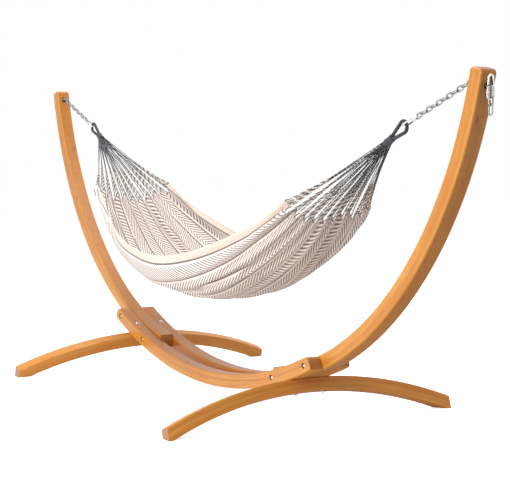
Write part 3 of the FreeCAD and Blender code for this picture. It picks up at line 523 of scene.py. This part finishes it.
def make_fringe(side, tree, material):
    """Bundles of two-ply cords that fan out from the neck to the scallops of the cloth."""
    sign = SIDES[side]
    chance = random.Random(7 + sign)
    roll, run, square = neck_frame(sign)
    neck_end = roll + run * (EYE_BEND + EYE_TO_FOOT - NECK_OVERLAP + NECK_LENGTH - CORD_IN_NECK)
    routes, girths, knots = [], [], []
    for bundle in range(BANDS + 1):
        share = bundle / BANDS
        spread_at_neck = (share - 0.5) * NECK_SPREAD
        tightness = chance.uniform(0.4, 0.85)
        middle_width = HEM + BANDS * BAND * share
        heart = cloth_point(sign * CORD_END, middle_width)
        for cord in range(CORDS_IN_BUNDLE):
            place = (cord - (CORDS_IN_BUNDLE - 1) / 2) / CORDS_IN_BUNDLE
            width = min(max(middle_width + place * BUNDLE_WIDTH, EDGE_GAP), CLOTH_FLAT[0] - EDGE_GAP)
            finish = cloth_point(sign * CORD_END, width)
            around = 2 * pi * (cord + bundle * 0.37) / CORDS_IN_BUNDLE
            start = neck_end + Vector((0, spread_at_neck + RING_WIDTH * cos(around), 0))
            start += square * (RING_HEIGHT * sin(around))
            # The cords of a bundle run close together at first and part at the cloth.
            route = []
            sag = chance.uniform(*CORD_SAG)
            for i in range(CORD_STEPS + 1):
                t = i / CORD_STEPS
                gather = tightness * sin(pi * t) ** 0.8 * (1 - t) ** 0.2
                point = start.lerp(finish, t).lerp(start.lerp(heart, t), gather)
                point.z -= sag * sin(pi * t)
                route.append(point)
            routes.append(route)
            last = (route[-1] - route[-2]).normalized()
            knots.append([finish + last * (KNOT_PITCH * k - KNOT_START) for k in range(KNOT_STEPS + 1)])
            swell = [smooth((i / CORD_STEPS - THICKENS_FROM) / THICKENS_OVER)
                     for i in range(CORD_STEPS + 1)]
            girths.append([THIN_PLY + (THICK_PLY - THIN_PLY) * amount for amount in swell])
    fringe = wind(f"{side}_fringe", routes, girths, tree, material,
                  Points=110, Turns=15.0, Strand_Share=1.02, Core=0.0, Sides=5)
    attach(fringe, "hammock")
    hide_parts(f"{side}_cords")
    bulge = [KNOT_GIRTH * sin(pi * (k + 1.5) / (KNOT_STEPS + 3)) for k in range(KNOT_STEPS + 1)]
    tied = wind(f"{side}_fringe_knots", knots, [bulge] * len(knots), tree, material,
                span=(0.1, 0.3), Points=16, Turns=1.5, Strand_Share=0.75, Core=0.0, Sides=6)
    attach(tied, "hammock")


# ---------------------------------------------------------------- cloth

section_tables = {}


def cloth_section(along, across):
    """The hanging shape without folds; along and across run from -1 to 1."""
    spread = 1 - abs(along) ** BELLY
    half_width = END_HALF_WIDTH + spread * (MID_HALF_WIDTH - END_HALF_WIDTH)
    edge = MID_EDGE + abs(along) ** RISE * (END_EDGE - MID_EDGE)
    depth = END_DEPTH + spread * (MID_DEPTH - END_DEPTH)
    angle = across * pi / 2
    y = half_width * sin(angle) * (1 - TUCK * abs(across))
    return Vector((along * HALF_LENGTH, y, edge - depth * max(cos(angle), 0) ** SQUARING))


def section_table(along):
    """Points and running lengths across the cloth at one place along it."""
    key = round(along, 4)
    if key not in section_tables:
        points = [cloth_section(along, -1 + 2 * i / SECTION_STEPS) for i in range(SECTION_STEPS + 1)]
        lengths = [0.0]
        for before, after in zip(points, points[1:]):
            lengths.append(lengths[-1] + (after - before).length)
        section_tables[key] = (points, [x / lengths[-1] for x in lengths])
    return section_tables[key]


def cloth_point(along, width):
    """A point of the folded cloth: along from -1 to 1, width in metres across the flat cloth.

    Each band is one fold. The noises vary slowly along the cloth and quickly across it.
    """
    points, shares = section_table(along)
    share = min(max(width / CLOTH_FLAT[0], 0), 1)
    index = next((i for i in range(SECTION_STEPS) if shares[i + 1] >= share), SECTION_STEPS - 1)
    local = (share - shares[index]) / (shares[index + 1] - shares[index])
    point = points[index].lerp(points[index + 1], local)
    tangent = (points[index + 1] - points[index]).normalized()
    normal = Vector((0, -tangent.z, tangent.y))
    band = (width - HEM) / BAND
    end = max(0.0, 1 - (1 - abs(along)) / (1 - FOLDS_START)) ** 1.5
    own = 0.85 + 0.5 * noise.noise(Vector((width * 6.0, along * 0.8, 4.0)))
    inside = min(1.0, min(width, CLOTH_FLAT[0] - width) / HEM)
    fold = cos(2 * pi * band) * (FOLD + END_FOLD * end) * own * inside
    wrinkle = noise.noise(Vector((along * 2.2, width * 5.0, 1.7))) * WRINKLE * inside
    wrinkle += noise.noise(Vector((along * 3.0 + width * 2.0, width * 16.0, 5.2))) * FINE_WRINKLE * inside
    edge = max(0.0, (abs(along) - SCALLOPS_START) / (1 - SCALLOPS_START)) ** 2
    scallop = SCALLOP * (0.5 - 0.5 * cos(2 * pi * band)) * edge
    point = point + normal * (fold + wrinkle)
    point.x -= (1 if along > 0 else -1) * scallop
    return point


def woven_cotton():
    """Yarn-dyed twill: taupe hatching on cream in bands, with plain stripes between them."""
    material, tree, shader = new_material("herringbone cotton", Roughness=0.9, Sheen_Weight=0.25)
    flat = add(tree, "ShaderNodeUVMap", uv_map="flat")
    u, v, _ = add(tree, "ShaderNodeSeparateXYZ", {0: flat}).node.outputs
    moved = add(tree, "ShaderNodeMath", {0: v, 1: HEM}, operation="SUBTRACT")
    bands = add(tree, "ShaderNodeMath", {0: moved, 1: BAND}, operation="DIVIDE")
    band = add(tree, "ShaderNodeMath", {0: bands}, operation="FLOOR")

    # Hatching: the slant turns round from band to band, and every third band is a chevron.
    odd = add(tree, "ShaderNodeMath", {0: band, 1: 2.0}, operation="FLOORED_MODULO")
    slant = add(tree, "ShaderNodeMapRange", {"Value": odd, "To Min": -1.0, "To Max": 1.0})
    plain = add(tree, "ShaderNodeMath", {0: v, 1: slant}, operation="MULTIPLY")
    zigzag = add(tree, "ShaderNodeMath", {0: moved, 1: BAND / 2}, operation="PINGPONG")
    third = add(tree, "ShaderNodeMath", {0: band, 1: 3.0}, operation="FLOORED_MODULO")
    is_third = add(tree, "ShaderNodeMath", {0: third, 1: 1.5}, operation="GREATER_THAN")
    lean = add(tree, "ShaderNodeMix", {"Factor": is_third, "A": plain, "B": zigzag}, data_type="FLOAT")
    line = add(tree, "ShaderNodeMath", {0: lean, 1: TWILL_LEAN, 2: u}, operation="MULTIPLY_ADD")
    line = add(tree, "ShaderNodeMath", {0: line, 1: TWILL_GAP}, operation="DIVIDE")
    line = add(tree, "ShaderNodeMath", {0: line}, operation="FRACT")
    line = add(tree, "ShaderNodeMath", {0: line, 1: 0.5}, operation="PINGPONG")
    hatch = add(tree, "ShaderNodeMapRange", {"Value": line, "From Min": 0.19, "From Max": 0.31})
    cream, taupe = colour("#f6ece5"), colour("#90817b")
    ground = add(tree, "ShaderNodeMix", {"Factor": hatch, "A": cream, "B": taupe},
                 data_type="RGBA").node.outputs["Result"]

    # A dark and a white stripe, side by side, where two bands meet.
    shifted = add(tree, "ShaderNodeMath", {0: bands, 1: STRIPE_SHIFT}, operation="ADD")
    in_stripe = add(tree, "ShaderNodeMath", {0: shifted}, operation="FRACT")
    metres = add(tree, "ShaderNodeMath", {0: in_stripe, 1: BAND}, operation="MULTIPLY")
    white = add(tree, "ShaderNodeMath", {0: metres, 1: BOTH_STRIPES}, operation="LESS_THAN")
    dark = add(tree, "ShaderNodeMath", {0: metres, 1: DARK_STRIPE}, operation="LESS_THAN")
    striped = add(tree, "ShaderNodeMix", {"Factor": white, "A": ground, "B": colour("#f6eae0")},
                  data_type="RGBA").node.outputs["Result"]
    striped = add(tree, "ShaderNodeMix", {"Factor": dark, "A": striped, "B": colour("#74635b")},
                  data_type="RGBA").node.outputs["Result"]

    # Plain selvedges, as far as the outermost dark stripes.
    far = add(tree, "ShaderNodeMath", {0: CLOTH_FLAT[0], 1: v}, operation="SUBTRACT")
    border = add(tree, "ShaderNodeMath", {0: v, 1: far}, operation="MINIMUM")
    selvedge = add(tree, "ShaderNodeMath", {0: border, 1: SELVEDGE}, operation="LESS_THAN")
    edged = add(tree, "ShaderNodeMix", {"Factor": selvedge, "A": striped, "B": colour("#dfcfc2")},
                data_type="RGBA").node.outputs["Result"]

    # Warp and weft threads, about 1 mm apart, and slubs in the yarn.
    threads = []
    for axis in (u, v):
        count = add(tree, "ShaderNodeMath", {0: axis, 1: 2 * pi / THREAD}, operation="MULTIPLY")
        threads.append(add(tree, "ShaderNodeMath", {0: count}, operation="SINE"))
    weave = add(tree, "ShaderNodeMath", {0: threads[0], 1: threads[1]}, operation="MULTIPLY")
    slubs_at = add(tree, "ShaderNodeVectorMath", {0: flat, 1: (40.0, 900.0, 1.0)}, operation="MULTIPLY")
    slubs = add(tree, "ShaderNodeTexNoise", {"Vector": slubs_at, "Scale": 1.0, "Detail": 2.0})
    shade = add(tree, "ShaderNodeMapRange", {"Value": slubs, "From Min": 0.3, "From Max": 0.7,
                                             "To Min": 0.92, "To Max": 1.05})
    final = add(tree, "ShaderNodeVectorMath", {0: edged, "Scale": shade}, operation="SCALE")
    bump = add(tree, "ShaderNodeBump", {"Height": weave, "Strength": 0.3, "Distance": 0.0004})
    tree.links.new(final, shader.inputs["Base Color"])
    tree.links.new(bump, shader.inputs["Normal"])
    return material


def edge_cotton():
    """Undyed cotton cord sewn along the cut ends: matt cream, with fuzz about 2 mm across."""
    material, tree, shader = new_material("undyed cotton cord", Roughness=0.9, Sheen_Weight=0.2)
    place = add(tree, "ShaderNodeTexCoord").node.outputs["Object"]
    fuzz = add(tree, "ShaderNodeTexNoise", {"Vector": place, "Scale": 500.0, "Detail": 3.0})
    tree.links.new(ramp(tree, fuzz, [(0.3, "#b4a394"), (0.7, "#dccfc2")]), shader.inputs["Base Color"])
    return material


def sheet_faces(rows, across):
    """Quads of a grid whose rows have that many points."""
    return [(i * across + j, (i + 1) * across + j, (i + 1) * across + j + 1, i * across + j + 1)
            for i in range(rows) for j in range(across - 1)]


def settle(verts, rows, across):
    """How far each point moves when the hung cloth crumples: it is wider than the shape it hangs in."""
    hung = new_object("settling_cloth", verts, [], sheet_faces(rows, across))
    hung.shape_key_add(name="hanging")
    cut = hung.shape_key_add(name="cut")
    for j in range(across):
        column = [Vector(verts[i * across + j]) for i in range(rows + 1)]
        lengths = [0.0]
        for before, after in zip(column, column[1:]):
            lengths.append(lengths[-1] + (after - before).length)
        for i in range(rows + 1):
            place = (lengths[i] - lengths[-1] / 2, CLOTH_FLAT[0] * j / (across - 1), 0)
            cut.data[i * across + j].co = place
    held = hung.vertex_groups.new(name="held")
    for i in range(rows + 1):
        grip = 1.0 if i in (0, rows) else SOFT_GRIP
        held.add(list(range(i * across, (i + 1) * across)), grip, "REPLACE")
    hang = hung.modifiers.new("hang", "CLOTH")
    settings = hang.settings
    settings.rest_shape_key = cut
    settings.vertex_group_mass = "held"
    settings.pin_stiffness = 1.0
    settings.quality = 6
    settings.mass = 0.05
    settings.tension_stiffness = settings.compression_stiffness = 25
    settings.shear_stiffness = 8
    settings.bending_stiffness = 0.8
    settings.air_damping = 2.0
    scene = bpy.context.scene
    for step in range(1, SETTLE_STEPS + 1):
        scene.frame_set(step)
    graph = bpy.context.evaluated_depsgraph_get()
    settled = [v.co.copy() for v in hung.evaluated_get(graph).data.vertices]
    scene.frame_set(1)
    old = hung.data
    bpy.data.objects.remove(hung)
    bpy.data.meshes.remove(old)
    return [(after - before) * min(1.0, MOST_MOVE / max((after - before).length, 1e-9))
            for before, after in zip(verts, settled)]


def crumple(verts):
    """Moves the cloth's points as a sheet with half as many rows and columns settles."""
    across, coarse_across = COLUMNS + 1, COLUMNS // 2 + 1
    coarse = [verts[i * across + j] for i in range(0, ROWS + 1, 2) for j in range(0, across, 2)]
    moves = settle(coarse, ROWS // 2, coarse_across)
    for i in range(ROWS + 1):
        for j in range(across):
            corners = [moves[row * coarse_across + column]
                       for row in (i // 2, (i + 1) // 2) for column in (j // 2, (j + 1) // 2)]
            verts[i * across + j] += sum(corners, Vector()) / 4


def make_cloth(tree):
    """One sheet, gathered at both ends, with its flat coordinates kept in a UV map."""
    across = COLUMNS + 1
    cream_cotton = edge_cotton()
    stations = [-1 + 2 * i / ROWS for i in range(ROWS + 1)]
    widths = [CLOTH_FLAT[0] * j / COLUMNS for j in range(across)]
    verts = [cloth_point(s, w) for s in stations for w in widths]
    crumple(verts)
    cloth = new_object("woven_cloth", verts, [], sheet_faces(ROWS, across), woven_cotton())
    layer = cloth.data.uv_layers.new(name="flat")
    for loop in cloth.data.loops:
        i, j = divmod(loop.vertex_index, across)
        layer.data[loop.index].uv = (CLOTH_FLAT[1] * i / ROWS, widths[j])
    cloth.data.shade_smooth()
    wall = cloth.modifiers.new("cloth thickness", "SOLIDIFY")
    wall.thickness, wall.offset = THICKNESS, 0.0
    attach(cloth, "hammock")
    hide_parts("hammock_cloth")
    for side, sign in SIDES.items():
        edge = [cloth_point(sign, w) for w in widths]
        hem = wind(f"{side}_hem_cord", [edge], [[HEM_CORD] * len(edge)], tree, cream_cotton,
                   Points=900, Turns=95.0, Strand_Share=1.02, Core=0.0, Sides=6)
        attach(hem, "hammock")


def make_tag():
    """A bare woven label sewn into the front selvedge: mid grey, with threads about 1 mm apart."""
    material, tree, shader = new_material("grey woven label", Roughness=0.85)
    place = add(tree, "ShaderNodeTexCoord").node.outputs["Object"]
    weave = add(tree, "ShaderNodeTexNoise", {"Vector": place, "Scale": 900.0, "Detail": 2.0})
    tree.links.new(ramp(tree, weave, [(0.3, "#5c5c60"), (0.7, "#808086")]), shader.inputs["Base Color"])
    paint("edge_tag", material)


# ---------------------------------------------------------------- studio

def seen_directly(tree):
    """1 for rays that come straight, by mirror or by glass from the camera, and 0 for all others."""
    rays = add(tree, "ShaderNodeLightPath").node.outputs
    seen = add(tree, "ShaderNodeMath", {0: rays["Is Camera Ray"], 1: rays["Is Glossy Ray"]},
               operation="MAXIMUM")
    seen = add(tree, "ShaderNodeMath", {0: seen, 1: rays["Is Transmission Ray"]}, operation="MAXIMUM")
    return seen


def make_studio():
    """White paper floor and a white room that dazzles less than it shows, with four softboxes."""
    corners = [(x * FLOOR_REACH, y * FLOOR_REACH, 0) for x, y in ((-1, -1), (1, -1), (1, 1), (-1, 1))]
    floor = new_object("floor", corners, [], [(0, 1, 2, 3)])
    material, tree, shader = new_material("white paper floor", Roughness=0.9)
    floor.data.materials.append(material)
    shader.inputs["Base Color"].default_value = colour("#d9d9d9")
    seen = seen_directly(tree)
    glow = add(tree, "ShaderNodeEmission", {"Color": (1, 1, 1, 1), "Strength": 0.72})
    both = add(tree, "ShaderNodeAddShader", {0: shader.outputs[0], 1: glow})
    mix = add(tree, "ShaderNodeMixShader", {0: seen, 1: shader.outputs[0], 2: both})
    tree.links.new(mix, tree.nodes["Material Output"].inputs["Surface"])

    world = bpy.data.worlds.new("studio")
    bpy.context.scene.world = world
    world.use_nodes = True
    tree = world.node_tree
    background = tree.nodes["Background"]
    background.inputs["Color"].default_value = (1, 1, 1, 1)
    seen = seen_directly(tree)
    strength = add(tree, "ShaderNodeMapRange", {"Value": seen, "To Min": 0.38, "To Max": 1.0})
    tree.links.new(strength, background.inputs["Strength"])

    # The rear softbox has no mirror image, which would glare on the arms' end grain.
    for name, place, aim, width, power, mirrored in (
            ("front softbox", (2.6, -4.2, 4.0), (0, 0, 0.7), 3.0, 120, True),
            ("low fill", (1.2, -5.0, 0.9), (0, 0, 0.7), 2.5, 170, True),
            ("rear softbox", (-3.0, 3.8, 3.0), (0, 0, 0.2), 3.0, 150, False),
            ("top softbox", (-0.6, -0.2, 4.8), (0, 0, 0.7), 4.0, 180, True)):
        lamp = bpy.data.lights.new(name, "AREA")
        lamp.size, lamp.energy = width, power
        thing = bpy.data.objects.new(name, lamp)
        bpy.context.collection.objects.link(thing)
        thing.location = place
        thing.rotation_euler = (Vector(aim) - Vector(place)).to_track_quat("-Z", "Y").to_euler()
        thing.visible_glossy = mirrored


def make_camera():
    """A long lens, from beyond the right end of the stand and in front of it."""
    camera = bpy.data.cameras.new("camera")
    camera.lens, camera.sensor_width = LENS, SENSOR
    thing = bpy.data.objects.new("camera", camera)
    bpy.context.collection.objects.link(thing)
    thing.location = CAMERA_AT
    level = cos(CAMERA_PITCH)
    aim = Vector((level * cos(CAMERA_YAW), level * sin(CAMERA_YAW), sin(CAMERA_PITCH)))
    thing.rotation_euler = aim.to_track_quat("-Z", "Y").to_euler()
    bpy.context.scene.camera = thing


def main():
    """Studio first, then the CAD pieces' finishes, then the ropes, fringe and cloth."""
    make_camera()
    make_studio()
    finish_beams()
    finish_steel()
    tree, charcoal, mottled = twisted_strands(), charcoal_cord(), fringe_cord()
    for side in SIDES:
        make_eye(side, tree, charcoal)
        make_fringe(side, tree, mottled)
    make_cloth(tree)
    make_tag()
    bpy.context.scene.view_settings.view_transform = "Standard"


main()
